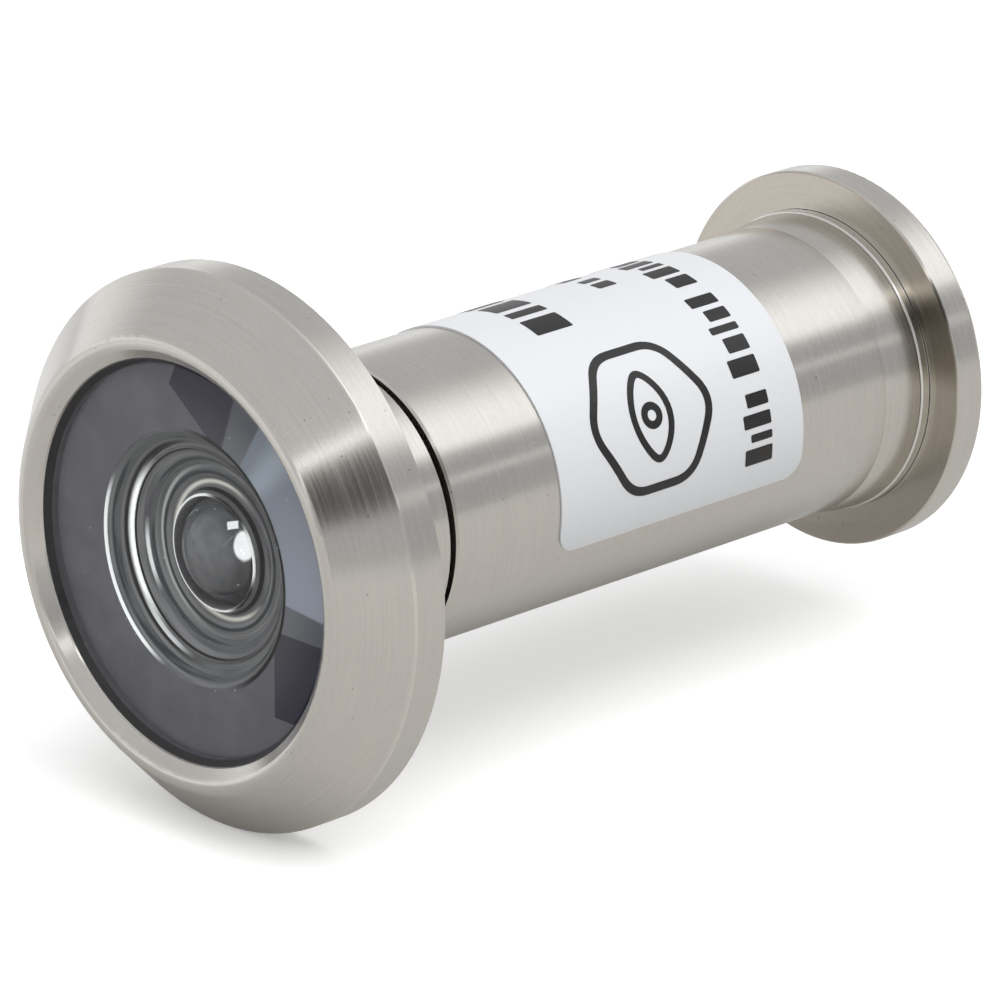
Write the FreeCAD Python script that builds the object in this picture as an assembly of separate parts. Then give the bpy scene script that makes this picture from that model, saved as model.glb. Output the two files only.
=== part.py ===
import FreeCAD, Part
import math
import os

# Door viewer: a wide-angle optical peephole that clamps through a drilled door.
# Millimetres. The optical axis is +Y, from the outside of the door to the inside; +Z is up.
# The origin is on the axis, in the plane of the outer flange's door-bearing face.
# The outer half (flange, collar, threaded tube, lens stack) stays still; the inner sleeve
# screws along the threaded tube to clamp doors of different thickness.
# "Front" is towards -Y and "back" towards +Y. Names ending in _R are radii, and names
# ending in _Y, _FRONT, _BACK, _START or _END are places along the axis.

EDGE = 0.12              # broken edges of the metal parts

# ---------------------------------------------------------------- outer flange and bezel
FLANGE_R = 15.0
CONE_ANGLE = 46.0        # slope of the cone, degrees from the plane across the axis
CREST_R = 11.75          # circle of the bezel's foremost points
CREST_Y = -5.20
CREST_ROUND = 0.62
LIP_R = 10.80            # opening in front of the objective
LIP_Y = -4.60

# ---------------------------------------------------------------- collar and threaded tube
COLLAR_R = 8.05
COLLAR_END = 7.0
RELIEF_R = 6.40          # thread relief behind the collar
RELIEF_END = 8.6
THREAD_MAJOR_R = 7.0
THREAD_MINOR_R = 6.45
PITCH = 1.0
THREAD_Y = 8.0           # a thread crest crosses the +X side here
TUBE_END = 39.0
TUBE_BORE_R = 5.70
WEB_R = 5.00             # web between the front bore and the tube bore
WEB_END = 6.00
FRONT_BORE_R = 7.20
FRONT_BORE_END = 4.40
SHELF_Y = -1.20          # the lens cell rests on this shelf

# ---------------------------------------------------------------- optics
WINDOW_R = 10.50         # flat front window
WINDOW_FRONT = -4.20
WINDOW_BACK = -3.75
WINDOW_BEVEL = 0.06
CELL_FACE_Y = -3.72      # annular face behind the window
CELL_R = LIP_R - 0.10
CELL_OPENING_R = 6.88    # round opening in that face
CELL_SPIGOT_R = FRONT_BORE_R - 0.05
CELL_BACK = 1.90
DOME_R = 3.20            # spherical radius of the objective's front surface
DOME_APEX_Y = -3.40
DOME_EDGE_R = 2.90
DOME_OPENING_R = DOME_EDGE_R + 0.08
OBJECTIVE_R = 4.30
OBJECTIVE_SEAT_Y = -0.95
OBJECTIVE_BACK = 0.80
OBJECTIVE_HOLLOW_R = 3.4
OBJECTIVE_HOLLOW_Y = -1.60
OBJECTIVE_RING_BORE_R = 3.50
MIDDLE_LENS_R = 7.10
MIDDLE_LENS_FRONT = 2.60
REAR_LENS_R = 5.62       # also the spacer tube and the eyepiece
REAR_LENS_BACK = 9.00
SPACER_BORE_R = 4.95
BAFFLE_STEP = 1.2
EYE_FRONT = 34.50        # eyepiece rim
EYE_BACK = 36.10
EYE_HOLLOW_R = 4.9       # edge of the hollow in its back, and the washer's bore
WASHER_BACK = EYE_BACK + 0.35
RETAINER_R = TUBE_BORE_R - 0.02
RETAINER_BORE_R = 4.75
RETAINER_BACK = 38.60

# ---------------------------------------------------------------- inner sleeve
SLEEVE_R = COLLAR_R
SLEEVE_FRONT = COLLAR_END + 0.4
SLEEVE_MINOR_R = 6.55
SLEEVE_ROOT_R = 7.08
SLEEVE_THREAD_END = 17.4
SLEEVE_BORE_R = 7.10
SLEEVE_FLOOR_Y = 40.2    # the sleeve's end wall starts here
FLARE_START = 39.6
FLARE_END = 41.95
FLARE_R = 8.36
NECK_R = 7.90            # groove that holds the slip ring
INNER_FACE_Y = 42.60     # door-bearing face of the inner flange
INNER_FLANGE_R = 10.58
INNER_RIM_END = 44.50
INNER_BACK = 46.40
BACK_FACE_R = 8.75       # edge of the flat back face
DISH_R = 6.60            # mouth of the dish around the eye hole
DISH_FLOOR_Y = 42.4
EYE_HOLE_R = 4.0

# ---------------------------------------------------------------- slip ring and label
RING_BORE_R = NECK_R + 0.05
RING_R = 8.46
RING_FRONT = 41.99
RING_BACK = 42.66
RING_GAP = 0.8
SEAT_R = RING_R + 0.025  # shallow counterbore in the inner flange that seats the slip ring
SEAT_Y = 42.72
LABEL_THICKNESS = 0.09
LABEL_FRONT = 14.85
LABEL_BACK = 33.00
LABEL_FROM = -17.5       # degrees from +X towards +Z
LABEL_TO = 165.0
LABEL_CORNER = 1.25


# ---------------------------------------------------------------- helpers
def point(x, y, z=0.0):
    return FreeCAD.Vector(x, y, z)


ORIGIN = point(0, 0)
AXIS = point(0, 1)


def facing_out(shape):
    """The shape, turned the right way out if its faces point inwards."""
    if shape.Volume < 0:
        shape.reverse()
    return shape


def turned(outline):
    """Solid of revolution about +Y.

    outline is a closed list of (r, y); an entry ("arc", through, end) is an arc
    from the point before it, through one (r, y) to another.
    """
    edges = []
    start = outline[0]
    for entry in outline[1:] + [start]:
        if entry[0] == "arc":
            through, end = entry[1:]
            edges.append(Part.Arc(point(*start), point(*through), point(*end)).toShape())
        else:
            end = entry
            edges.append(Part.makeLine(point(*start), point(*end)))
        start = end
    return facing_out(Part.Face(Part.Wire(edges)).revolve(ORIGIN, AXIS, 360))


def bowed(start, end, bulge):
    """Arc entry from start to end, its middle moved bulge to the left of the chord."""
    dr, dy = end[0] - start[0], end[1] - start[1]
    chord = math.hypot(dr, dy)
    through = (
        (start[0] + end[0]) / 2 - dy / chord * bulge,
        (start[1] + end[1]) / 2 + dr / chord * bulge,
    )
    return ("arc", through, end)


def cap_middle(apex_y, edge_r, edge_y):
    """Point halfway along a spherical lens surface, between its apex and its edge."""
    sag = edge_y - apex_y
    sphere_r = (edge_r ** 2 + sag ** 2) / (2 * sag)    # signed: the centre is at apex_y + sphere_r
    half_angle = math.asin(edge_r / abs(sphere_r)) / 2
    return (
        abs(sphere_r) * math.sin(half_angle),
        apex_y + sphere_r * (1 - math.cos(half_angle)),
    )


def lens(rim_r, rim_front, rim_back, front_r, front_apex, back_r, back_apex):
    """Lens with a spherical surface on each side, each inside a flat rim."""
    return turned([
        (0, front_apex),
        ("arc", cap_middle(front_apex, front_r, rim_front), (front_r, rim_front)),
        (rim_r, rim_front),
        (rim_r, rim_back),
        (back_r, rim_back),
        ("arc", cap_middle(back_apex, back_r, rim_back), (0, back_apex)),
    ])


def helix_turns(start_y, turns, base_r, base_half, tip_r, tip_half):
    """One-turn solids stacked along a right-hand helix about +Y.

    The section is a trapezium, given by the radius and half width of its base and tip.
    """
    corners = [
        point(base_r, 0, -base_half),
        point(tip_r, 0, -tip_half),
        point(tip_r, 0, tip_half),
        point(base_r, 0, base_half),
    ]
    section = Part.makePolygon(corners + [corners[0]])
    helix = Part.makeHelix(PITCH, PITCH, (base_r + tip_r) / 2)
    one_turn = facing_out(Part.Wire(helix).makePipeShell([section], True, True))
    # the helix is made about +Z; lay it along +Y
    one_turn.rotate(ORIGIN, point(1, 0), -90)
    stack = []
    for i in range(turns):
        turn = one_turn.copy()
        turn.translate(point(0, start_y + i * PITCH))
        stack.append(turn)
    return stack


def slot(x_from, x_to, y_from, y_to, width):
    """Box for cutting a slot along X, centred on z = 0."""
    corner = point(x_from, y_from, -width / 2)
    return Part.makeBox(x_to - x_from, y_to - y_from, width, corner)


def sector(r_in, r_out, y_from, y_to, angle_from, angle_to):
    """Part of a ring between two angles, in degrees from +X towards +Z."""
    face = Part.Face(Part.makePolygon([
        point(r_in, y_from),
        point(r_out, y_from),
        point(r_out, y_to),
        point(r_in, y_to),
        point(r_in, y_from),
    ]))
    # a positive turn about +Y goes from +X towards -Z, so angles are negated
    face.rotate(ORIGIN, AXIS, -angle_from)
    return face.revolve(ORIGIN, AXIS, -(angle_to - angle_from))


# ---------------------------------------------------------------- outer half
def bezel_outline():
    """Front of the body, from the lip over the crest and down the cone to the door face."""
    slope = math.radians(CONE_ANGLE)
    centre_y = CREST_Y + CREST_ROUND
    # the crest round is tangent to the cone outside and to the lip's chamfer inside
    cone_tangent = (
        CREST_R + CREST_ROUND * math.sin(slope),
        centre_y - CREST_ROUND * math.cos(slope),
    )
    lip_dr, lip_dy = LIP_R - CREST_R, LIP_Y - centre_y
    lip_angle = math.atan2(lip_dy, lip_dr) + math.acos(CREST_ROUND / math.hypot(lip_dr, lip_dy))
    lip_tangent = (
        CREST_R + CREST_ROUND * math.cos(lip_angle),
        centre_y + CREST_ROUND * math.sin(lip_angle),
    )
    rim_y = cone_tangent[1] + (FLANGE_R - cone_tangent[0]) * math.tan(slope)
    return [
        (LIP_R, LIP_Y + 0.08),
        (LIP_R + 0.05, LIP_Y - 0.02),
        lip_tangent,
        ("arc", (CREST_R, CREST_Y), cone_tangent),
        (FLANGE_R - 0.06, rim_y - 0.06 * math.tan(slope)),
        ("arc", (FLANGE_R - 0.015, rim_y - 0.005), (FLANGE_R, rim_y + 0.06)),
        (FLANGE_R, -EDGE),
        (FLANGE_R - EDGE, 0),
    ]


def outer_body():
    tube_outside = [
        (COLLAR_R, 0),
        (COLLAR_R, COLLAR_END - EDGE),
        (COLLAR_R - EDGE, COLLAR_END),
        (RELIEF_R, COLLAR_END),
        (RELIEF_R, RELIEF_END),
        (THREAD_MINOR_R, RELIEF_END + 0.05),
        (THREAD_MINOR_R, TUBE_END - 0.3),
        (THREAD_MINOR_R - 0.3, TUBE_END),
    ]
    bore = [
        (TUBE_BORE_R + 0.1, TUBE_END),
        (TUBE_BORE_R, TUBE_END - 0.1),
        (TUBE_BORE_R, WEB_END),
        (WEB_R, WEB_END),
        (WEB_R, FRONT_BORE_END),
        (FRONT_BORE_R, FRONT_BORE_END),
        (FRONT_BORE_R, SHELF_Y),
        (LIP_R, SHELF_Y),
    ]
    blank = turned(bezel_outline() + tube_outside + bore)
    ridge = helix_turns(
        start_y=THREAD_Y - PITCH,
        turns=int((TUBE_END - THREAD_Y) / PITCH) + 2,
        base_r=THREAD_MINOR_R - 0.12,
        base_half=PITCH / 2 - 0.02,
        tip_r=THREAD_MAJOR_R,
        tip_half=0.07,
    )
    # trim the ridge to the threaded length, with a chamfer at each end
    envelope = turned([
        (RELIEF_R - 0.3, RELIEF_END - 0.55),
        (RELIEF_R + 0.02, RELIEF_END - 0.55),
        (THREAD_MAJOR_R + 0.2, RELIEF_END + 0.25),
        (THREAD_MAJOR_R + 0.2, TUBE_END - 0.85),
        (THREAD_MINOR_R - 0.05, TUBE_END - 0.15),
        (RELIEF_R - 0.3, TUBE_END - 0.15),
    ])
    ridge = ridge[0].fuse(ridge[1:]).common(envelope)
    return blank.fuse(ridge.Solids)


def front_window():
    return turned([
        (0, WINDOW_FRONT),
        (WINDOW_R - WINDOW_BEVEL, WINDOW_FRONT),
        (WINDOW_R, WINDOW_FRONT + WINDOW_BEVEL),
        (WINDOW_R, WINDOW_BACK),
        (0, WINDOW_BACK),
    ])


def window_seal():
    # sealing ring between the window's edge and the bezel
    return turned([
        (WINDOW_R, WINDOW_FRONT + 0.10),
        (LIP_R, LIP_Y + 0.12),
        (LIP_R, WINDOW_BACK),
        (WINDOW_R, WINDOW_BACK),
    ])


def lens_cell():
    # flat annular face behind the window, then a stepped funnel to the objective's opening
    body = [
        (CELL_OPENING_R, CELL_FACE_Y),
        (CELL_R - 0.08, CELL_FACE_Y),
        (CELL_R, CELL_FACE_Y + 0.08),
        (CELL_R, SHELF_Y),
        (CELL_SPIGOT_R, SHELF_Y),
        (CELL_SPIGOT_R, CELL_BACK),
        (OBJECTIVE_R + 0.05, CELL_BACK),
        (OBJECTIVE_R + 0.05, OBJECTIVE_SEAT_Y),
        (DOME_OPENING_R, OBJECTIVE_SEAT_Y),
    ]
    # the funnel's steps, from the objective's opening outwards
    funnel = [
        (DOME_OPENING_R, -2.22),
        ("arc", (3.06, -2.31), (3.15, -2.25)),
        (3.42, -1.78),
        ("arc", (3.60, -1.62), (3.82, -1.68)),
        ("arc", (4.16, -1.87), (4.46, -1.76)),
        ("arc", (4.60, -1.78), (4.75, -1.90)),
        (5.35, -2.42),
        (5.70, -2.74),
        (5.78, -2.62),
        (5.94, -2.62),
        (6.00, -2.80),
        (CELL_OPENING_R - 0.12, CELL_FACE_Y + 0.12),
    ]
    return turned(body + funnel)


def objective_lens():
    # convex dome in front, deep concave back
    edge_y = DOME_APEX_Y + DOME_R - math.sqrt(DOME_R ** 2 - DOME_EDGE_R ** 2)
    hollow = cap_middle(OBJECTIVE_HOLLOW_Y, OBJECTIVE_HOLLOW_R, OBJECTIVE_BACK)
    return turned([
        (0, DOME_APEX_Y),
        ("arc", cap_middle(DOME_APEX_Y, DOME_EDGE_R, edge_y), (DOME_EDGE_R, edge_y)),
        (DOME_EDGE_R, OBJECTIVE_SEAT_Y),
        (OBJECTIVE_R, OBJECTIVE_SEAT_Y),
        (OBJECTIVE_R, OBJECTIVE_BACK),
        (OBJECTIVE_HOLLOW_R, OBJECTIVE_BACK),
        ("arc", hollow, (0, OBJECTIVE_HOLLOW_Y)),
    ])


def objective_retaining_ring():
    ring = turned([
        (OBJECTIVE_RING_BORE_R, OBJECTIVE_BACK),
        (OBJECTIVE_R + 0.03, OBJECTIVE_BACK),
        (OBJECTIVE_R + 0.03, CELL_BACK),
        (OBJECTIVE_RING_BORE_R + 0.15, CELL_BACK),
        (OBJECTIVE_RING_BORE_R, CELL_BACK - 0.15),
    ])
    return ring.cut(slot(-5, 5, CELL_BACK - 0.5, CELL_BACK + 1, width=0.8))


def middle_lens_spacer():
    return turned([
        (5.2, CELL_BACK),
        (MIDDLE_LENS_R, CELL_BACK),
        (MIDDLE_LENS_R, MIDDLE_LENS_FRONT),
        (4.9, MIDDLE_LENS_FRONT),
    ])


def middle_lens():
    # biconcave
    return lens(
        rim_r=MIDDLE_LENS_R, rim_front=MIDDLE_LENS_FRONT, rim_back=FRONT_BORE_END,
        front_r=4.6, front_apex=3.15, back_r=4.7, back_apex=3.90,
    )


def rear_negative_lens():
    # biconcave
    return lens(
        rim_r=REAR_LENS_R, rim_front=WEB_END, rim_back=REAR_LENS_BACK,
        front_r=4.5, front_apex=7.05, back_r=4.6, back_apex=7.90,
    )


def spacer_tube():
    # sets the distance to the eyepiece, with shallow baffle grooves inside
    outline = [
        (REAR_LENS_R, REAR_LENS_BACK),
        (REAR_LENS_R, EYE_FRONT),
        (SPACER_BORE_R + 0.2, EYE_FRONT),
        (SPACER_BORE_R, EYE_FRONT - 0.2),
    ]
    y = EYE_FRONT - 1.0
    while y > REAR_LENS_BACK + 1.4:
        outline += [(SPACER_BORE_R, y), (SPACER_BORE_R + 0.15, y - 0.3), (SPACER_BORE_R, y - 0.6)]
        y -= BAFFLE_STEP
    return turned(outline + [(SPACER_BORE_R, REAR_LENS_BACK)])


def eyepiece_lens():
    # convex on both sides of the rim
    return lens(
        rim_r=REAR_LENS_R, rim_front=EYE_FRONT, rim_back=EYE_BACK,
        front_r=5.0, front_apex=33.0, back_r=EYE_HOLLOW_R, back_apex=37.45,
    )


def eyepiece_washer():
    return turned([
        (EYE_HOLLOW_R, EYE_BACK),
        (REAR_LENS_R, EYE_BACK),
        (REAR_LENS_R, WASHER_BACK),
        (EYE_HOLLOW_R, WASHER_BACK),
    ])


def lens_retaining_ring():
    ring = turned([
        (RETAINER_BORE_R, WASHER_BACK),
        (RETAINER_R, WASHER_BACK),
        (RETAINER_R, RETAINER_BACK - 0.15),
        (RETAINER_R - 0.15, RETAINER_BACK),
        (RETAINER_BORE_R + 0.15, RETAINER_BACK),
        (RETAINER_BORE_R, RETAINER_BACK - 0.15),
    ])
    return ring.cut(slot(-6.5, 6.5, RETAINER_BACK - 0.9, RETAINER_BACK + 1, width=1.0))


# ---------------------------------------------------------------- inner half
def inner_sleeve():
    rim_corner = (INNER_FLANGE_R - 0.17, INNER_RIM_END + 0.12)
    dish_mouth = (DISH_R, INNER_BACK - 0.15)
    outside = [
        (SLEEVE_MINOR_R + 0.45, SLEEVE_FRONT),
        (SLEEVE_R - EDGE, SLEEVE_FRONT),
        (SLEEVE_R, SLEEVE_FRONT + EDGE),
        (SLEEVE_R, FLARE_START),
        bowed((SLEEVE_R, FLARE_START), (FLARE_R, FLARE_END), -0.055),
        (NECK_R, FLARE_END),
        (NECK_R, SEAT_Y),
        (SEAT_R, SEAT_Y),
        (SEAT_R, INNER_FACE_Y),
        (INNER_FLANGE_R - EDGE, INNER_FACE_Y),
        (INNER_FLANGE_R, INNER_FACE_Y + EDGE),
        (INNER_FLANGE_R, INNER_RIM_END - 0.15),
        ("arc", (INNER_FLANGE_R - 0.05, INNER_RIM_END), rim_corner),
        bowed(rim_corner, (BACK_FACE_R, INNER_BACK - 0.1), 0.06),
        (BACK_FACE_R - 0.15, INNER_BACK),
        (DISH_R + 0.15, INNER_BACK),
        dish_mouth,
    ]
    inside = [
        bowed(dish_mouth, (EYE_HOLE_R + 0.1, DISH_FLOOR_Y), 0.35),
        (EYE_HOLE_R, DISH_FLOOR_Y - 0.2),
        (EYE_HOLE_R, SLEEVE_FLOOR_Y + 0.1),
        (EYE_HOLE_R + 0.1, SLEEVE_FLOOR_Y),
        (SLEEVE_BORE_R, SLEEVE_FLOOR_Y),
        (SLEEVE_BORE_R, SLEEVE_THREAD_END + 0.4),
        (SLEEVE_MINOR_R, SLEEVE_THREAD_END),
        (SLEEVE_MINOR_R, SLEEVE_FRONT + 0.45),
    ]
    blank = turned(outside + inside)
    # internal thread: the outer thread's form with clearance
    start_y = THREAD_Y - PITCH * 2
    groove = helix_turns(
        start_y=start_y,
        turns=int(round((SLEEVE_THREAD_END - start_y) / PITCH)) + 1,
        base_r=SLEEVE_MINOR_R - 0.15,
        base_half=PITCH / 2 - 0.035,
        tip_r=SLEEVE_ROOT_R,
        tip_half=0.13,
    )
    sleeve = blank.cut(groove)
    # coin slot across the back face
    return sleeve.cut(slot(-9.4, 9.4, INNER_BACK - 1.15, INNER_BACK + 1, width=1.9))


def flange_slip_ring():
    # split on the -X side
    ring = turned([
        (RING_BORE_R, RING_FRONT + 0.08),
        (RING_BORE_R + 0.08, RING_FRONT),
        (RING_R - 0.12, RING_FRONT),
        ("arc", (RING_R - 0.03, RING_FRONT + 0.05), (RING_R, RING_FRONT + 0.16)),
        (RING_R, RING_BACK - 0.10),
        (RING_R - 0.10, RING_BACK),
        (RING_BORE_R, RING_BACK),
    ])
    return ring.cut(slot(-RING_R - 1, 0, RING_FRONT - 1, RING_BACK + 1, width=RING_GAP))


def sleeve_label():
    label_r = SLEEVE_R + LABEL_THICKNESS
    label = facing_out(sector(SLEEVE_R, label_r, LABEL_FRONT, LABEL_BACK, LABEL_FROM, LABEL_TO))
    corner_angle = math.degrees(LABEL_CORNER / label_r)
    # round each corner: cut away a block around it, less a radial peg
    for edge_angle, angle_sign in ((LABEL_FROM, 1), (LABEL_TO, -1)):
        for edge_y, y_sign in ((LABEL_FRONT, 1), (LABEL_BACK, -1)):
            peg_angle = edge_angle + angle_sign * corner_angle
            peg_y = edge_y + y_sign * LABEL_CORNER
            angles = sorted((edge_angle - angle_sign * 0.5, peg_angle))
            ends = sorted((edge_y - y_sign * 0.2, peg_y))
            block = sector(SLEEVE_R - 0.5, label_r + 0.5, *ends, *angles)
            turn = math.radians(peg_angle)
            radial = point(math.cos(turn), 0, math.sin(turn))
            peg_r = SLEEVE_R - 2
            peg_base = point(radial.x * peg_r, peg_y, radial.z * peg_r)
            peg = Part.makeCylinder(LABEL_CORNER, 4.0, peg_base, radial)
            label = label.cut(block.cut(peg))
    return label


# ---------------------------------------------------------------- export
# each function's name is its part's file name
PARTS = [
    outer_body,
    front_window,
    window_seal,
    lens_cell,
    objective_lens,
    objective_retaining_ring,
    middle_lens_spacer,
    middle_lens,
    rear_negative_lens,
    spacer_tube,
    eyepiece_lens,
    eyepiece_washer,
    lens_retaining_ring,
    inner_sleeve,
    flange_slip_ring,
    sleeve_label,
]

os.makedirs("parts", exist_ok=True)
for make_part in PARTS:
    shape = make_part()
    if len(shape.Solids) == 1:
        shape = shape.Solids[0]
    shape.exportStep("parts/" + make_part.__name__ + ".step")
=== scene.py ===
"""A small brushed-metal optical barrel, with a label wrapped round its sleeve.

The optical axis is Y: the windowed objective faces -Y and the eyepiece is at +Y. Z is up.
Angles about the axis run from +X towards +Z. The camera stands at +X, -Y, a little above,
so +X is on its right and -X on its left.
"""
import functools
import math

import bpy
import bmesh
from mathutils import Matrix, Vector


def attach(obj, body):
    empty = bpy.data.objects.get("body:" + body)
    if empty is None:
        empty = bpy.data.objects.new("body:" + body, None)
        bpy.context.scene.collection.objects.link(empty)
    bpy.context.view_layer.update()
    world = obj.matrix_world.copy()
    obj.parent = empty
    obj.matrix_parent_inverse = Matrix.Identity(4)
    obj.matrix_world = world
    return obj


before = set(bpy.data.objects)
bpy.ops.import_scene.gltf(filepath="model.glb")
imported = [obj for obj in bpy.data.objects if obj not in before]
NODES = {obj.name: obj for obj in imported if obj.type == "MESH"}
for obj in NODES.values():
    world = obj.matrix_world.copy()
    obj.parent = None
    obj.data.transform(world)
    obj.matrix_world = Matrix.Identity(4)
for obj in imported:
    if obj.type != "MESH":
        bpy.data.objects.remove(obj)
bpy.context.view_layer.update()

MM = 0.001

# View: direction from the object to the camera, and the picture's right and up
TO_CAMERA = Vector((0.676877, -0.653747, 0.338308))
VIEW_RIGHT = Vector((0.694711, 0.719289, 0.0))
VIEW_UP = Vector((-0.243341, 0.235030, 0.941036))


# ------------------------------------------------------------------ node helpers
class Signal:
    """Output of a shader node. Arithmetic on it adds Math nodes."""

    def __init__(self, tree, socket):
        self.tree = tree
        self.socket = socket

    def __add__(self, other):
        return self.tree.math("ADD", self, other)

    def __radd__(self, other):
        return self.tree.math("ADD", other, self)

    def __sub__(self, other):
        return self.tree.math("SUBTRACT", self, other)

    def __rsub__(self, other):
        return self.tree.math("SUBTRACT", other, self)

    def __mul__(self, other):
        return self.tree.math("MULTIPLY", self, other)

    def __pow__(self, power):
        return self.tree.math("POWER", self, power)

    def __abs__(self):
        return self.tree.math("ABSOLUTE", self)

    def larger(self, other):
        return self.tree.math("MAXIMUM", self, other)

    def swing(self, amount):
        """A 0 to 1 signal centred on zero, with the given total swing."""
        return (self - 0.5) * amount

    def ramp(self, start, end, before, after):
        """Smooth step from before to after while the signal goes from start to end."""
        inputs = {"Value": self, "From Min": start, "From Max": end,
                  "To Min": before, "To Max": after}
        return self.tree.value("ShaderNodeMapRange", inputs, interpolation_type="SMOOTHSTEP")

    def rise(self, start, end):
        return self.ramp(start, end, 0.0, 1.0)

    def fall(self, start, end):
        return self.ramp(start, end, 1.0, 0.0)

    def plateau(self, rise_start, rise_end, fall_start, fall_end):
        return self.rise(rise_start, rise_end) * self.fall(fall_start, fall_end)

    def near(self, centre, full, gone):
        """1 up to the distance full from centre, 0 beyond the distance gone."""
        return abs(self - centre).fall(full, gone)

    def sector(self, start, end, soft=0.012):
        """1 between two angles in degrees; soft is the edge in radians."""
        start, end = math.radians(start), math.radians(end)
        return self.plateau(start - soft, start + soft, end - soft, end + soft)


def largest(signals):
    return functools.reduce(Signal.larger, signals)


class Tree:
    """Short way to write a material's or the world's node tree."""

    def __init__(self, owner):
        owner.use_nodes = True
        self.tree = owner.node_tree
        self.tree.nodes.clear()

    def put(self, socket, value):
        if isinstance(value, Signal):
            self.tree.links.new(value.socket, socket)
            return
        if isinstance(value, tuple) and len(value) == 3 and len(socket.default_value) == 4:
            value = (*value, 1.0)
        socket.default_value = value

    def outputs(self, kind, names, inputs=(), **settings):
        """Add a node and return the named outputs as signals."""
        node = self.tree.nodes.new(kind)
        for key, setting in settings.items():
            setattr(node, key, setting)
        for key, value in dict(inputs).items():
            self.put(node.inputs[key], value)
        return [Signal(self, node.outputs[name]) for name in names]

    def value(self, kind, inputs=(), output=0, **settings):
        return self.outputs(kind, (output,), inputs, **settings)[0]

    def math(self, operation, *values):
        return self.value("ShaderNodeMath", dict(enumerate(values)), operation=operation)

    def vec(self, x, y, z):
        return self.value("ShaderNodeCombineXYZ", {0: x, 1: y, 2: z})

    def split(self, vector):
        return self.outputs("ShaderNodeSeparateXYZ", (0, 1, 2), {0: vector})

    def dot(self, first, second):
        return self.value("ShaderNodeVectorMath", {0: first, 1: second}, "Value",
                          operation="DOT_PRODUCT")

    def scale(self, vector, factor):
        return self.value("ShaderNodeVectorMath", {0: vector, "Scale": factor},
                          operation="SCALE")

    def noise(self, vector, scale=1.0, detail=2.0, rough=0.5):
        inputs = {"Vector": vector, "Scale": scale, "Detail": detail, "Roughness": rough}
        return self.value("ShaderNodeTexNoise", inputs, "Fac")

    def cells(self, vector, scale):
        """Distance to the nearest of a scatter of points."""
        inputs = {"Vector": vector, "Scale": scale}
        return self.value("ShaderNodeTexVoronoi", inputs, "Distance", feature="F1")

    def mix(self, factor, first, second, blend="MIX"):
        return self.value("ShaderNodeMix", {0: factor, 6: first, 7: second}, 2,
                          data_type="RGBA", blend_type=blend)

    def scaled(self, colour, level):
        return self.mix(1.0, colour, self.vec(level, level, level), "MULTIPLY")

    def bump(self, height, distance, strength=1.0):
        """Normal from a height; distance in metres."""
        inputs = {"Height": height, "Distance": distance, "Strength": strength}
        return self.value("ShaderNodeBump", inputs)

    def object_coordinates(self):
        return self.value("ShaderNodeTexCoord", output="Object")

    def finish(self, shader, kind="ShaderNodeOutputMaterial"):
        self.outputs(kind, (), {"Surface": shader})

    def principled(self, **inputs):
        """Principled surface, wired to the material output."""
        inputs = {key.replace("_", " "): value for key, value in inputs.items()}
        self.finish(self.value("ShaderNodeBsdfPrincipled", inputs))


class PartTree(Tree):
    """A part's new material, with object coordinates in mm."""

    def __init__(self, name):
        self.material = bpy.data.materials.new(name)
        super().__init__(self.material)
        self.axes = [axis * 1000.0 for axis in self.split(self.object_coordinates())]

    def radius(self):
        """Distance from the optical axis."""
        x, _, z = self.axes
        return self.math("SQRT", x * x + z * z)

    def angle(self):
        """Angle in radians from +X towards +Z, with its seam at -X."""
        x, _, z = self.axes
        return self.math("ARCTAN2", z, x)

    def left_angle(self):
        """Angle in radians from -X, positive downwards, with its seam at +X."""
        x, _, z = self.axes
        return self.math("ARCTAN2", z * -1.0, x * -1.0)

    def cloud(self, scale, detail, rough):
        """Noise through the solid."""
        return self.noise(self.vec(*self.axes), scale, detail, rough)

    def specks(self, scale):
        return self.cells(self.vec(*self.axes), scale)


# ------------------------------------------------------------------ metal
# Worn rim edges: radius, y, width of the wear (mm)
WORN_RIMS = (
    (15.0, -2.1, 0.16), (15.0, 0.0, 0.14), (8.05, 7.0, 0.14), (8.05, 7.4, 0.14),
    (10.58, 42.6, 0.14), (10.5, 44.55, 0.16), (8.6, 46.4, 0.20),
)
# Stray scratches: lanes per radian, change per mm along a lane, slant, noise seed
SCRATCH_SETS = ((9.0, 0.9, 0.0, 1.7), (7.0, 1.1, 0.03, 5.1), (5.0, 1.3, -0.05, 9.3))


def scratch_lines(tree, radius, angle):
    """Thin sparse lines: straight along the axis, and some slanted."""
    y = tree.axes[1]
    lines = []
    for lanes, change, slant, seed in SCRATCH_SETS:
        along = y + radius * 0.7
        lane = angle * lanes + along * (slant * lanes)
        chance = tree.noise(tree.vec(tree.math("FLOOR", lane), along * change, seed),
                            detail=0.0)
        thin = tree.math("FRACT", lane).near(0.5, full=0.004, gone=0.014)
        lines.append(thin * chance.rise(0.735, 0.78))
    return largest(lines)


def worn_edges(tree, radius):
    y = tree.axes[1]
    edges = []
    for rim_radius, rim_y, width in WORN_RIMS:
        distance = tree.math("SQRT", (radius - rim_radius) ** 2.0 + (y - rim_y) ** 2.0)
        edges.append(distance.fall(0.02, width))
    return largest(edges)


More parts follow.
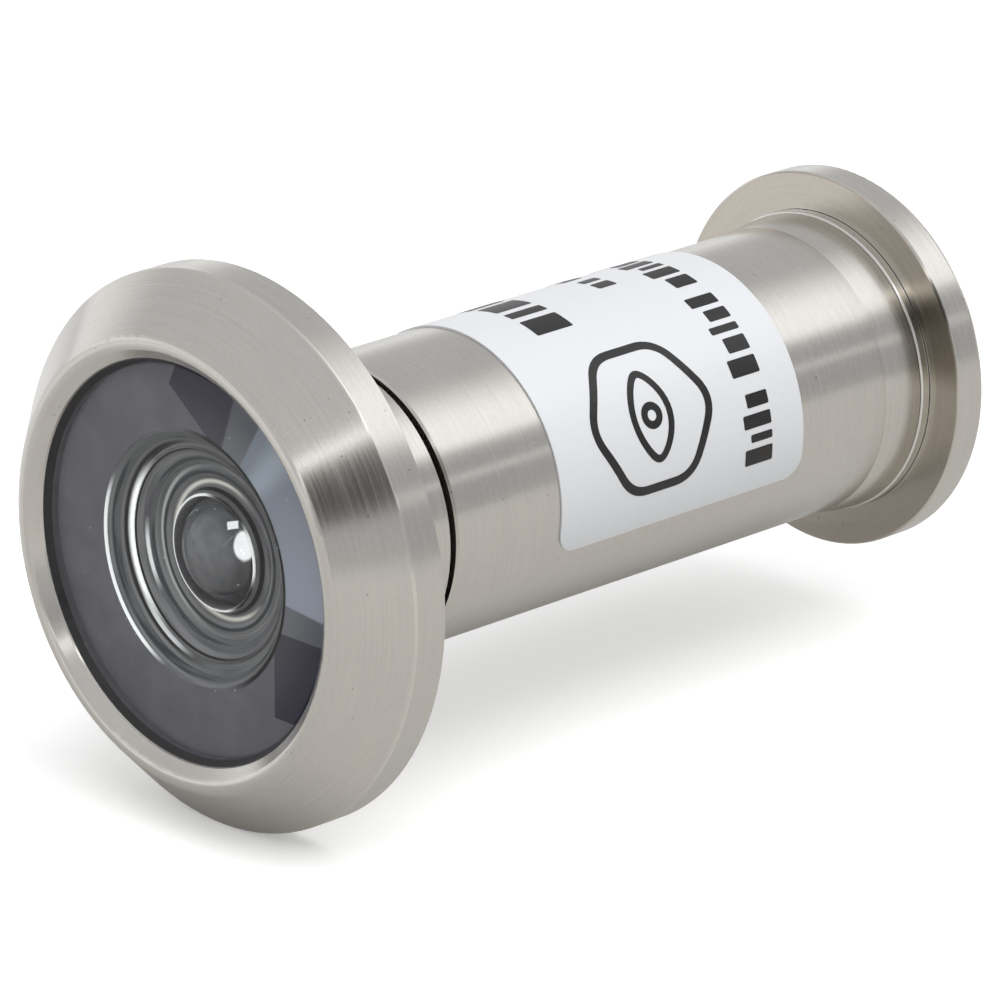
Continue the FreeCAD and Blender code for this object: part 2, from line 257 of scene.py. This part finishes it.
def metal(name, colour, rough, aniso, grain, scratches):
    """Plated metal brushed around the optical axis, with scratches, brighter worn edges and a
    painted dark reflection on the flat face near y = 42.6.
    """
    tree = PartTree(name)
    y = tree.axes[1]
    radius, angle = tree.radius(), tree.angle()
    # cosine and sine of the angle keep the pattern free of a seam
    cosine, sine = tree.math("COSINE", angle), tree.math("SINE", angle)

    def brushed(around, across, detail, rough):
        """Long grain round the axis: around and across are its two frequencies."""
        vector = tree.vec(cosine * around, (y + radius * 0.93) * across, sine * around)
        return tree.noise(vector, detail=detail, rough=rough)

    fine = brushed(around=2.4, across=17.0, detail=2.0, rough=0.55)
    coarse = brushed(around=1.3, across=5.2, detail=3.0, rough=0.6)
    strokes = brushed(around=9.0, across=12.0, detail=1.0, rough=0.5)
    cloud = tree.cloud(scale=0.22, detail=3.0, rough=0.55)
    mottle = tree.cloud(scale=3.6, detail=3.0, rough=0.65)
    line = scratch_lines(tree, radius, angle) * scratches
    edge = worn_edges(tree, radius) * coarse.rise(0.30, 0.62)

    # brightness: grain, clouds, then pits left by the plating and scratches
    shade = fine.swing(0.30 * grain) + coarse.swing(0.10 * grain) + cloud.swing(0.06)
    shade = shade + mottle.swing(0.11) + 1.0
    pit_zone = tree.cloud(scale=0.5, detail=1.0, rough=0.5).rise(0.50, 0.56)
    pit = tree.specks(scale=1.15).fall(0.05, 0.09) * pit_zone
    shade = shade - pit * 0.34 + line * 0.11

    # flat face near y = 42.6: painted dark reflection, darker and browner, most of all in its
    # upper +X part
    face = y.plateau(42.55, 42.59, 42.64, 42.70) * radius.rise(8.48, 8.60)
    dark_reflection_zone = angle.plateau(0.02, 0.22, 0.52, 0.66)
    painted_reflection_stripe = angle.near(math.radians(39), full=0.02, gone=0.10)
    shade = shade * (1.0 - face * (0.08 + dark_reflection_zone * 0.50))
    # painted brown tint of that reflection, strongest in the upper part and along a stripe at 39
    # degrees
    painted_reflection_tint = face * (0.45 + (dark_reflection_zone + painted_reflection_stripe * 0.5) * 0.4)
    painted_reflection_brown = tuple(c * k for c, k in zip(colour, (1.0, 0.91, 0.78)))
    worn_colour = tuple(min(1.0, c * 1.25 + 0.05) for c in colour)
    base = tree.mix(edge * 0.55, tree.mix(painted_reflection_tint, colour, painted_reflection_brown), worn_colour)

    height = fine * 0.55 + strokes * 0.30 + coarse * 0.25 + mottle * 0.35 - line * 0.8
    tree.principled(
        Base_Color=tree.scaled(base, shade),
        Metallic=1.0,
        Roughness=rough + coarse.swing(0.16) + cloud.swing(0.08) - edge * 0.08 - line * 0.10,
        Anisotropic=aniso,
        Anisotropic_Rotation=0.25,
        Normal=tree.bump(height, distance=0.0000016 * grain),
        Tangent=tree.value("ShaderNodeTangent", direction_type="RADIAL", axis="Y"),
    )
    return tree.material


# ------------------------------------------------------------------ black parts and clear glass
def black(name, base, rough):
    """Black with soft patches and fine turned rings."""
    tree = PartTree(name)
    y = tree.axes[1]
    patches = tree.cloud(scale=1.8, detail=4.0, rough=0.6)
    rings = tree.noise(tree.vec(0.0, y * 6.0, tree.radius() * 6.0))
    level = patches.ramp(0.3, 0.7, 0.75, 1.3)
    tree.principled(
        Base_Color=tree.scaled((base, base, base * 1.05), level),
        Roughness=rough + patches.swing(0.2),
        Normal=tree.bump(patches * 0.5 + rings * 0.5, distance=0.0000012),
    )
    return tree.material


def optical_glass():
    tree = PartTree("optical_glass")
    smear = tree.cloud(scale=0.6, detail=2.0, rough=0.5)
    tree.principled(Base_Color=(0.985, 0.992, 0.990), Roughness=smear.ramp(0.35, 0.75, 0.0, 0.004),
                    IOR=1.52, Transmission_Weight=1.0)
    return tree.material


def window_glass():
    """Thin flat glass: clear, with a weak mirror image and a faint smear."""
    tree = PartTree("window_glass")
    smear = tree.cloud(scale=0.35, detail=3.0, rough=0.55)
    fresnel = tree.value("ShaderNodeFresnel", {"IOR": 1.40})
    front = 1.0 - tree.value("ShaderNodeNewGeometry", output="Backfacing")
    clear = tree.value("ShaderNodeBsdfTransparent", {0: (0.982, 0.984, 0.986)})
    mirror = tree.value("ShaderNodeBsdfGlossy", {"Roughness": smear.ramp(0.35, 0.75, 0.01, 0.05)})
    tree.finish(tree.value("ShaderNodeMixShader", {0: fresnel * front, 1: clear, 2: mirror}))
    return tree.material


def srgb_to_linear(*channels):
    """sRGB channels, 0 to 255, to linear."""
    return tuple(((c / 255.0) / 12.92 if c <= 10 else ((c / 255.0 + 0.055) / 1.055) ** 2.4)
                 for c in channels)


def under_glass(*srgb):
    """Base colour that shows as srgb behind the window, which adds some reflected light."""
    return tuple(max(0.004, (c - 0.045) / 0.60) for c in srgb_to_linear(*srgb))


# ------------------------------------------------------------------ lens cell
# Painted reflection facets of the flat face, seen from the front (mm)
FACET_SOFT = 0.035
LOW_FACET_X = 6.15
LOW_FACET_Z = (-6.95, -2.22)
# The line that bounds the upper facet, from its inner to its outer end: x, z
HIGH_FACET_INNER = (1.87, 6.48)
HIGH_FACET_OUTER = (-1.65, 9.17)


def painted_face_reflections(tree, colour, radius, angle):
    """Painted reflections on the flat annulus: dark, medium and bluish facets."""
    x, _, z = tree.axes
    outside = radius.rise(6.86, 6.90)
    bottom, top = LOW_FACET_Z
    # the low and the high facet: painted dark reflection
    low = x.rise(LOW_FACET_X - FACET_SOFT, LOW_FACET_X + FACET_SOFT) * z.plateau(
        bottom - FACET_SOFT, bottom + FACET_SOFT, top - FACET_SOFT, top + FACET_SOFT)

    (inner_x, inner_z), (outer_x, outer_z) = HIGH_FACET_INNER, HIGH_FACET_OUTER
    beyond_line = (x - inner_x) * (outer_z - inner_z) + (z - inner_z) * (inner_x - outer_x)
    cut_corner = (x - outer_x) * 0.86 - (z - outer_z) * 0.42
    high = beyond_line.rise(-0.10, 0.10) * cut_corner.rise(-0.05, 0.05)
    high = high * angle.rise(math.radians(69.5), math.radians(71.5))
    high = high * angle.fall(math.radians(110), math.radians(112))
    dark_reflection_tone = tree.mix(radius.rise(7.0, 10.2), under_glass(76, 76, 81), under_glass(62, 62, 69))
    colour = tree.mix(low.larger(high) * outside, colour, dark_reflection_tone)

    # medium facets: painted reflection
    above_low = z.rise(top - FACET_SOFT, top + FACET_SOFT) * angle.sector(-20.0, -5.0)
    medium_reflection = above_low.larger(angle.sector(58.5, 70.5)) * outside * x.rise(2.0, 2.4)
    medium_reflection_tone = tree.mix(radius.rise(7.0, 10.0),
                           under_glass(102, 104, 108), under_glass(86, 88, 93))
    colour = tree.mix(medium_reflection, colour, medium_reflection_tone)

    # bluish facet: painted reflection, with a brighter painted streak round 47 degrees
    bluish_reflection = angle.sector(-5.0, 58.5) * outside
    bluish_reflection_tone = tree.mix(angle.rise(0.0, math.radians(52)),
                         under_glass(132, 136, 146), under_glass(116, 122, 130))
    painted_reflection_streak = abs(angle - math.radians(47)).ramp(0.0, 0.16, 0.55, 0.0)
    bluish_reflection_tone = tree.mix(painted_reflection_streak, bluish_reflection_tone, under_glass(154, 162, 172))
    return tree.mix(bluish_reflection, colour, bluish_reflection_tone)


def cell_funnel(tree, colour, radius, angle):
    """Stepped funnel inside the opening, with painted highlights and painted shade as light and
    dark rings on its steps.
    """
    turned = tree.noise(tree.vec(tree.math("COSINE", angle) * 0.9, radius * 3.4,
                                 tree.math("SINE", angle) * 0.9), detail=3.0, rough=0.6)
    wall = tree.mix(turned.rise(0.30, 0.70), under_glass(90, 91, 93), under_glass(120, 121, 122))
    colour = tree.mix(radius.fall(6.80, 6.86), colour, wall)
    from_left = tree.left_angle()

    def left_arc(start, end, fade):
        """Arc on the -X side, in degrees from -X, positive downwards."""
        stops = (start - fade, start + fade, end - fade, end + fade)
        return from_left.plateau(*(math.radians(stop) for stop in stops))

    def all_but(centre, half, fade=18.0):
        """Whole turn, faded out round one direction; degrees from +X."""
        offset = abs(tree.math("WRAP", angle - math.radians(centre), math.pi, -math.pi))
        return offset.rise(math.radians(half - fade), math.radians(half + fade))

    left_side = abs(from_left).fall(math.radians(95), math.radians(150))
    near_edge_shade_zone = angle.near(math.radians(15), math.radians(62), math.radians(86))
    thin = all_but(66, 26, 12) * all_but(-38, 22, 12)
    # Bright rings are painted highlights and black rings painted shade; the grey ones are the
    # steps' own tone.
    # sRGB as seen, radius, half width (mm), full-strength share of the half width, mask.
    # Later rings lie over earlier ones; the last is painted black shade along the near edge of the
    # opening.
    rings = (
        ((70, 73, 74), 6.45, 0.20, 0.5, turned.rise(0.4, 0.6)),
        ((10, 10, 12), 6.04, 0.16, 0.5, left_arc(-75, 80, 20)),
        ((246, 248, 248), 5.78, 0.27, 0.5, left_arc(-34, 44, 16)),
        ((200, 204, 204), 5.98, 0.07, 0.5, left_arc(40, 72, 10)),
        ((30, 31, 33), 5.60, 0.07, 0.5, left_side),
        ((216, 220, 220), 5.16, 0.10, 0.5, left_arc(0, 30, 10)),
        ((74, 78, 79), 4.98, 0.16, 0.5, turned.rise(0.42, 0.58)),
        ((156, 160, 158), 4.50, 0.14, 0.5, left_arc(-60, 60, 30)),
        ((72, 74, 76), 4.20, 0.13, 0.5, None),
        ((206, 206, 199), 3.68, 0.19, 0.1, all_but(8, 58)),
        ((46, 48, 50), 3.34, 0.09, 0.5, None),
        ((240, 242, 242), 3.10, 0.08, 0.5, thin),
        ((52, 54, 56), 3.10, 0.075, 0.5, 1.0 - thin),
        ((226, 228, 228), 3.88, 0.06, 0.5, angle.sector(-24.0, 30.0, soft=0.12)),
        ((236, 240, 240), 6.83, 0.09, 0.5, left_arc(-20, 62, 10)),
        ((6, 6, 7), 6.93, 0.15, 0.75, near_edge_shade_zone),
    )
    for srgb, ring_radius, half_width, share, mask in rings:
        amount = radius.near(ring_radius, half_width * share, half_width)
        if mask is not None:
            amount = amount * mask
        colour = tree.mix(amount, colour, under_glass(*srgb))
    return colour


def cell_black():
    """Glossy black cell behind the window: flat annulus round a stepped funnel."""
    tree = PartTree("cell_black")
    x, y, z = tree.axes
    radius, angle = tree.radius(), tree.angle()
    patches = tree.cloud(scale=0.45, detail=3.0, rough=0.55)
    fine = tree.cloud(scale=7.0, detail=2.0, rough=0.5)
    colour = tree.mix(patches.rise(0.3, 0.7), under_glass(92, 92, 97), under_glass(100, 100, 104))
    colour = painted_face_reflections(tree, colour, radius, angle)
    colour = cell_funnel(tree, colour, radius, angle)

    # scattered dust, and pale specks along the edge of the opening
    dust_zone = tree.cloud(scale=0.9, detail=1.0, rough=0.5).rise(0.50, 0.56)
    dust = tree.specks(scale=1.05).fall(0.02, 0.065) * dust_zone
    # x * 1.0 leaves the pattern as it is; the factor would stretch it along X
    edge_specks = tree.cells(tree.vec(x * 1.0, y, z), scale=3.2).fall(0.05, 0.24)
    edge_specks = edge_specks * radius.near(6.98, full=0.05, gone=0.14) * patches.rise(0.46, 0.60)
    colour = tree.mix(dust.larger(edge_specks) * 0.75, colour, under_glass(176, 178, 178))
    colour = tree.mix(fine.ramp(0.3, 0.8, 0.0, 0.035), colour, under_glass(120, 120, 124))
    tree.principled(Base_Color=colour, Roughness=patches.ramp(0.3, 0.7, 0.30, 0.42),
                    Specular_IOR_Level=0.12)
    return tree.material


# ------------------------------------------------------------------ objective lens
def painted_lamp_highlight(tree, mirror, turn, rise, half_width, half_height, soft, is_oval=False):
    """Painted highlight of a lamp seen along mirror; turn and rise are degrees right of and above
    the camera.
    """
    towards = (TO_CAMERA + VIEW_RIGHT * math.tan(math.radians(turn))
               + VIEW_UP * math.tan(math.radians(rise))).normalized()
    lamp_right = (VIEW_RIGHT - towards * VIEW_RIGHT.dot(towards)).normalized()
    lamp_up = towards.cross(lamp_right) * -1.0
    across = tree.dot(mirror, lamp_right) * (1.0 / half_width)
    upward = tree.dot(mirror, lamp_up) * (1.0 / half_height)
    if is_oval:
        distance = tree.math("SQRT", across * across + upward * upward)
    else:
        distance = abs(across).larger(abs(upward))
    return distance.fall(1.0 - soft, 1.0 + soft) * tree.dot(mirror, towards).rise(0.2, 0.4)


def objective_glass():
    """Small dome: dark glass with painted highlights of two studio lamps, which glow as emission.
    """
    tree = PartTree("objective_glass")
    x, y, z = tree.axes
    radius = tree.radius()
    incoming, normal = tree.outputs("ShaderNodeNewGeometry", ("Incoming", "Normal"))
    doubled = tree.scale(normal, tree.dot(normal, incoming) * 2.0)
    mirror = tree.value("ShaderNodeVectorMath", {0: doubled, 1: incoming}, operation="SUBTRACT")
    # painted highlights of two studio lamps, emitted where the mirror direction meets them
    oval = painted_lamp_highlight(tree, mirror, turn=4, rise=-4, half_width=0.34, half_height=0.46,
                         soft=0.12, is_oval=True)
    panel = painted_lamp_highlight(tree, mirror, turn=-21, rise=36, half_width=0.17, half_height=0.13,
                          soft=0.10)
    front = radius.fall(2.86, 2.89) * y.fall(-1.4, -1.2)
    painted_highlight = (oval * 0.88).larger(panel * 0.80) * front

    patches = tree.cloud(scale=0.7, detail=3.0, rough=0.55)
    body = tree.mix(patches.rise(0.3, 0.7), under_glass(86, 87, 90), under_glass(104, 105, 107))
    # darker just inside the rim
    rim = abs(radius - 2.35).ramp(0.05, 0.45, 0.65, 0.0)
    body = tree.mix(rim, body, under_glass(76, 77, 80))
    # bright arc on the -X side as a painted highlight, and bright specks round the same circle
    arc_radius = 2.42
    painted_arc = radius.near(arc_radius, full=0.02, gone=0.07)
    painted_arc = painted_arc * tree.left_angle().near(0.25, full=0.7, gone=1.5)
    body = tree.mix(painted_arc * 0.9, body, under_glass(206, 210, 208))
    specks = tree.specks(scale=2.6).fall(0.10, 0.2)
    specks = specks * radius.near(arc_radius, full=0.08, gone=0.20)
    body = tree.mix(specks, body, under_glass(220, 224, 224))
    # lower +X side in shade
    lower_right = (x + z * -1.0).rise(1.3, 3.2)
    body = tree.mix(lower_right * 0.55, body, under_glass(60, 61, 64))
    tree.principled(
        Base_Color=body, Roughness=0.03, IOR=1.5, Coat_Weight=0.3, Emission_Strength=1.0,
        Emission_Color=tree.mix(painted_highlight, (0.0, 0.0, 0.0), (0.97, 0.99, 1.0)),
    )
    return tree.material


# ------------------------------------------------------------------ seal, label and ink
def seal_black():
    """Rubber seal: black lip in front, painted grey sheen on the wall inside it."""
    tree = PartTree("black_seal")
    y = tree.axes[1]
    patches = tree.cloud(scale=1.6, detail=3.0, rough=0.6)
    # painted grey sheen on the inner wall seen through the window
    wall = tree.radius().fall(10.51, 10.54) * y.rise(-4.18, -4.10)
    lip = tree.mix(patches.rise(0.3, 0.7), (0.008, 0.008, 0.009), (0.016, 0.016, 0.018))
    tree.principled(
        Base_Color=tree.mix(wall, lip, under_glass(84, 84, 88)),
        Roughness=patches.ramp(0.3, 0.7, 0.34, 0.5),
        Normal=tree.bump(patches, distance=0.000002),
    )
    return tree.material


def label_film():
    tree = PartTree("label_film")
    fine = tree.cloud(scale=2.2, detail=4.0, rough=0.6)
    waves = tree.cloud(scale=0.25, detail=2.0, rough=0.5)
    tree.principled(
        Base_Color=tree.scaled((0.665, 0.68, 0.705), 0.985 + fine.swing(0.035)),
        Roughness=0.34 + fine.swing(0.12),
        Normal=tree.bump(fine * 0.2 + waves * 0.8, distance=0.00001, strength=0.5),
    )
    return tree.material


def label_ink():
    tree = PartTree("label_ink")
    patches = tree.cloud(scale=4.0, detail=4.0, rough=0.6)
    level = patches.ramp(0.3, 0.75, 0.7, 1.6)
    tree.principled(Base_Color=tree.scaled((0.0075, 0.0065, 0.0068), level),
                    Roughness=0.32 + patches * 0.12)
    return tree.material


# ------------------------------------------------------------------ materials onto parts
satin = metal("satin_nickel", (0.62, 0.60, 0.57), rough=0.205, aniso=0.62, grain=0.72,
              scratches=1.0)
bright = metal("bright_nickel", (0.76, 0.745, 0.72), rough=0.14, aniso=0.4, grain=0.4,
               scratches=0.3)
lens_glass = optical_glass()
window = window_glass()
dome = objective_glass()
cell = cell_black()
rubber = black("black_rubber", base=0.010, rough=0.40)
seal = seal_black()
anodised = black("black_anodised", base=0.012, rough=0.50)
film = label_film()
print_ink = label_ink()

LOOK = {
    "outer_body": satin,
    "inner_sleeve": satin,
    "flange_slip_ring": bright,
    "front_window": window,
    "window_seal": seal,
    "lens_cell": cell,
    "objective_lens": dome,
    "objective_retaining_ring": anodised,
    "middle_lens_spacer": anodised,
    "middle_lens": lens_glass,
    "rear_negative_lens": lens_glass,
    "spacer_tube": anodised,
    "eyepiece_lens": lens_glass,
    "eyepiece_washer": rubber,
    "lens_retaining_ring": anodised,
    "sleeve_label": film,
}
for part, material in LOOK.items():
    for slot in NODES[part].material_slots:
        slot.material = material


# ------------------------------------------------------------------ print on the label
# Generic marks: an eye in a hexagon, and rows of plain blocks in place of wording.
# Flat places are (s, y) in mm: s runs round the barrel from +X towards +Z, y along the axis.
LABEL_RADIUS = 8.14
INK_TOP = 0.012
INK_BOTTOM = 0.001
MM_PER_DEGREE = math.radians(1.0) * LABEL_RADIUS
EMBLEM_S = 25.0 * MM_PER_DEGREE
EMBLEM_Y = 22.2
HEXAGON_RADIUS = 4.45
EYE_HALF_LENGTH = 2.35
EYE_HALF_HEIGHT = 1.30
PUPIL_RADIUS = 0.52
BLOCK_CORNER = 0.08
TALL_SHARE = 0.28

# Rows of blocks: name, start and end in degrees, y range, block widths, gaps,
# and whether every other block is taller
TEXT_ROWS = (
    ("label_line_long", -6, 150, 29.0, 30.6,
     (0.9, 0.45, 0.75, 0.75, 1.0), (0.35, 0.35, 0.35, 1.0, 0.35), True),
    ("label_line_short", 87, 150, 25.2, 26.5, (0.8, 0.6, 0.8), (0.4, 0.9, 0.4), False),
    ("label_line_bold", 70, 150, 18.3, 20.9, (1.5, 0.7, 1.5, 1.1), (0.5, 0.5, 0.6, 0.5), False),
)


def wrap(s, y, lift):
    """Point on the barrel, lifted off the label."""
    angle = s / LABEL_RADIUS
    radius = LABEL_RADIUS + lift
    return Vector((radius * math.cos(angle) * MM, y * MM, radius * math.sin(angle) * MM))


def strip(bm, rows, closed=False):
    """Thin closed solid from rows of (s, y) points, all rows the same length."""
    count, width = len(rows), len(rows[0])
    top = [[bm.verts.new(wrap(s, y, INK_TOP)) for s, y in row] for row in rows]
    low = [[bm.verts.new(wrap(s, y, INK_BOTTOM)) for s, y in row] for row in rows]
    for i in range(count if closed else count - 1):
        j = (i + 1) % count
        for c in range(width - 1):
            bm.faces.new((top[i][c], top[j][c], top[j][c + 1], top[i][c + 1]))
            bm.faces.new((low[i][c + 1], low[j][c + 1], low[j][c], low[i][c]))
        bm.faces.new((top[i][0], low[i][0], low[j][0], top[j][0]))
        bm.faces.new((top[j][-1], low[j][-1], low[i][-1], top[i][-1]))
    if not closed:
        for i in (0, count - 1):
            for c in range(width - 1):
                bm.faces.new((top[i][c], top[i][c + 1], low[i][c + 1], low[i][c]))


def block(bm, s0, s1, y0, y1):
    """Rectangle with softened corners."""
    corner = BLOCK_CORNER
    steps = max(3, int((s1 - s0) / 0.25) + 1)
    # s, inset of the outline there
    stops = [(s0, corner), (s0 + corner * 0.35, corner * 0.3)]
    stops += [(s0 + corner + (s1 - s0 - 2 * corner) * i / steps, 0.0) for i in range(steps + 1)]
    stops += [(s1 - corner * 0.35, corner * 0.3), (s1, corner)]
    strip(bm, [[(s, y0 + inset + (y1 - y0 - 2 * inset) * c / 3) for c in range(4)]
               for s, inset in stops])


def outline(bm, points, width):
    """Closed line of even width through points."""
    rows = []
    for i, (s, y) in enumerate(points):
        before, after = points[i - 1], points[(i + 1) % len(points)]
        ds, dy = after[0] - before[0], after[1] - before[1]
        length = math.hypot(ds, dy)
        normal_s, normal_y = -dy / length, ds / length
        rows.append([(s + normal_s * width * side, y + normal_y * width * side)
                     for side in (-0.5, 0.0, 0.5)])
    strip(bm, rows, closed=True)


def ink_piece(name, fill, *shape):
    mesh = bpy.data.meshes.new(name)
    bm = bmesh.new()
    fill(bm, *shape)
    bmesh.ops.recalc_face_normals(bm, faces=bm.faces[:])
    bm.to_mesh(mesh)
    bm.free()
    piece = bpy.data.objects.new(name, mesh)
    bpy.context.scene.collection.objects.link(piece)
    mesh.materials.append(print_ink)
    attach(piece, "sleeve")


def between(start, end, share):
    return tuple(a + (b - a) * share for a, b in zip(start, end))


def hexagon(bm):
    """Hexagon with straight middles of sides and curved corners."""
    corners = []
    for i in range(6):
        angle = math.radians(60 * i + 30)
        corners.append((EMBLEM_S + HEXAGON_RADIUS * math.cos(angle),
                        EMBLEM_Y + HEXAGON_RADIUS * math.sin(angle)))
    side_start, side_end = 0.27, 0.73
    points = []
    for i in range(6):
        here, corner, after = (corners[(i + k) % 6] for k in range(3))
        points += [between(here, corner, f) for f in (side_start, 0.42, 0.58, side_end)]
        curve_start = between(here, corner, side_end)
        curve_end = between(corner, after, side_start)
        for f in (0.12, 0.25, 0.38, 0.5, 0.62, 0.75, 0.88):
            points.append(tuple((1 - f) ** 2 * a + 2 * f * (1 - f) * b + f * f * c
                                for a, b, c in zip(curve_start, corner, curve_end)))
    outline(bm, points, width=0.50)


def eye(bm):
    """Pointed oval with a small circle at its centre."""
    lids = []
    for i in range(48):
        angle = 2 * math.pi * i / 48
        along = math.cos(angle)
        height = EYE_HALF_HEIGHT * math.sin(angle) * (1 - 0.30 * along * along)
        lids.append((EMBLEM_S + EYE_HALF_LENGTH * along, EMBLEM_Y + height))
    outline(bm, lids, width=0.42)
    angles = [2 * math.pi * i / 28 for i in range(28)]
    outline(bm, [(EMBLEM_S + PUPIL_RADIUS * math.cos(angle),
                  EMBLEM_Y + PUPIL_RADIUS * math.sin(angle)) for angle in angles], width=0.44)


def text_row(bm, start, end, y0, y1, widths, gaps, has_tall):
    """Row of plain blocks; tall ones reach further towards -Y."""
    s, stop = start * MM_PER_DEGREE, end * MM_PER_DEGREE
    i = 0
    while s < stop:
        width = widths[i % len(widths)]
        if s + width > stop:
            break
        extra = TALL_SHARE * (y1 - y0) if has_tall and i % 2 == 0 else 0.0
        block(bm, s, s + width, y0 - extra, y1)
        s += width + gaps[i % len(gaps)]
        i += 1


ink_piece("label_hexagon", hexagon)
ink_piece("label_eye", eye)
for row_name, *row_shape in TEXT_ROWS:
    ink_piece(row_name, text_row, *row_shape)


# ------------------------------------------------------------------ floor
FLOOR_HALF = 2.5
FLOOR_Z = -0.01505


def floor_paint():
    material = bpy.data.materials.new("floor_paint")
    tree = Tree(material)
    patches = tree.noise(tree.object_coordinates(), scale=6.0, detail=3.0)
    to_camera = tree.value("ShaderNodeLightPath", output="Is Camera Ray")
    x = tree.split(tree.object_coordinates())[0]
    # all but camera rays see a darker floor, darkest from the object towards +X
    dim = tree.mix(x.fall(-0.065, -0.02), (0.52, 0.51, 0.49), (0.75, 0.75, 0.75))
    pale = tree.mix(to_camera, dim, (0.86, 0.86, 0.86))
    tree.principled(
        Base_Color=tree.scaled(pale, 0.98 + patches.swing(0.02)),
        Roughness=0.9,
        Specular_IOR_Level=0.0,
        # a lift, mostly for the camera, so that the floor reads as a bright sweep
        Emission_Strength=to_camera * 0.23 + 0.07,
        Emission_Color=(1.0, 1.0, 1.0),
    )
    return material


def stage_floor():
    mesh = bpy.data.meshes.new("floor")
    bm = bmesh.new()
    bm.faces.new([bm.verts.new((x * FLOOR_HALF, y * FLOOR_HALF, 0))
                  for x, y in ((-1, -1), (1, -1), (1, 1), (-1, 1))])
    bm.to_mesh(mesh)
    bm.free()
    floor = bpy.data.objects.new("floor", mesh)
    floor.location = (0, 0, FLOOR_Z)
    bpy.context.scene.collection.objects.link(floor)
    mesh.materials.append(floor_paint())


stage_floor()


# ------------------------------------------------------------------ world
def studio_world():
    """Light room with a long strip lamp overhead and a dark patch by the camera."""
    world = bpy.data.worlds.new("studio")
    bpy.context.scene.world = world
    tree = Tree(world)
    direction = tree.scale(tree.value("ShaderNodeNewGeometry", output="Incoming"), -1.0)
    dx, dy, dz = tree.split(direction)
    # degrees about the optical axis, from +X towards +Z
    angle = tree.math("ARCTAN2", dz, dx) * (180.0 / math.pi)
    back = dy.rise(-0.25, 0.15)

    # strip lamp, wider and softer towards +Y, and a lighter wall at -X
    strip_back = angle.plateau(40, 50, 64, 106) * back * 0.78
    strip_front = angle.plateau(49, 52, 55, 60) * (1.0 - back) * 1.25
    left_wall = angle.rise(150, 176).larger(angle.fall(-176, -160)) * 0.42
    level = dy.ramp(-0.5, 0.3, 0.69, 0.62) + strip_back + strip_front + left_wall
    # the +X side is darker, with one narrow bright line at the back
    level = level * (1.0 - angle.plateau(-8, 6, 34, 42) * 0.20)
    level = level + angle.plateau(19, 22.5, 24, 27.5) * back * 0.34
    # dark round patch by the camera, fading between 8 and 13.5 degrees from its centre
    patch = tree.dot(direction, Vector((0.56, -0.72, 0.41)).normalized()).rise(
        math.cos(math.radians(13.5)), math.cos(math.radians(8.0)))
    level = level * (1.0 - patch * 0.90)
    level = level * dz.ramp(-0.6, 0.0, 0.80, 1.0)

    # warmer in the patch and below the horizon; the camera itself sees white
    warmth = tree.math("MINIMUM", patch * 0.8 + dz.fall(-0.5, 0.05) * 0.45, 1.0)
    tint = tree.mix(warmth, (1.0, 1.0, 1.0), (1.0, 0.95, 0.87))
    colour = tree.scaled(tint, level)
    to_camera = tree.value("ShaderNodeLightPath", output="Is Camera Ray")
    colour = tree.mix(to_camera, colour, (1.0, 1.0, 1.0))
    background = tree.value("ShaderNodeBackground", {"Color": colour, "Strength": 1.0})
    tree.finish(background, "ShaderNodeOutputWorld")


studio_world()


# ------------------------------------------------------------------ lamp and camera
KEY_TARGET = Vector((0, 0.018, 0))
KEY_DISTANCE = 0.6
KEY_ANGLE = math.radians(62)   # about the optical axis, from +X towards +Z
KEY_TILT = math.radians(-12)   # towards +Y


def key_lamp():
    lamp = bpy.data.lights.new("key_soft", "AREA")
    lamp.shape = "RECTANGLE"
    lamp.size = 0.7
    lamp.size_y = 0.5
    lamp.energy = 2.6
    key = bpy.data.objects.new("key_soft", lamp)
    direction = Vector((math.cos(KEY_TILT) * math.cos(KEY_ANGLE), math.sin(KEY_TILT),
                        math.cos(KEY_TILT) * math.sin(KEY_ANGLE)))
    place = KEY_TARGET + direction * KEY_DISTANCE
    key.location = place
    key.rotation_euler = (KEY_TARGET - place).to_track_quat("-Z", "Y").to_euler()
    bpy.context.scene.collection.objects.link(key)
    key.visible_glossy = False


def add_camera():
    camera = bpy.data.cameras.new("camera")
    camera.sensor_width = 36.0
    camera.lens = 273.5892
    camera.clip_start = 0.01
    camera.clip_end = 20.0
    holder = bpy.data.objects.new("camera", camera)
    holder.location = (0.273992, -0.246433, 0.134730)
    holder.rotation_euler = (-TO_CAMERA).to_track_quat("-Z", "Y").to_euler()
    bpy.context.scene.collection.objects.link(holder)
    bpy.context.scene.camera = holder


key_lamp()
add_camera()

# ------------------------------------------------------------------ render settings
scene = bpy.context.scene
scene.view_settings.view_transform = "Standard"
scene.view_settings.look = "None"
scene.cycles.use_denoising = True
scene.cycles.max_bounces = 16
scene.cycles.transmission_bounces = 14
scene.cycles.transparent_max_bounces = 12
scene.cycles.glossy_bounces = 8
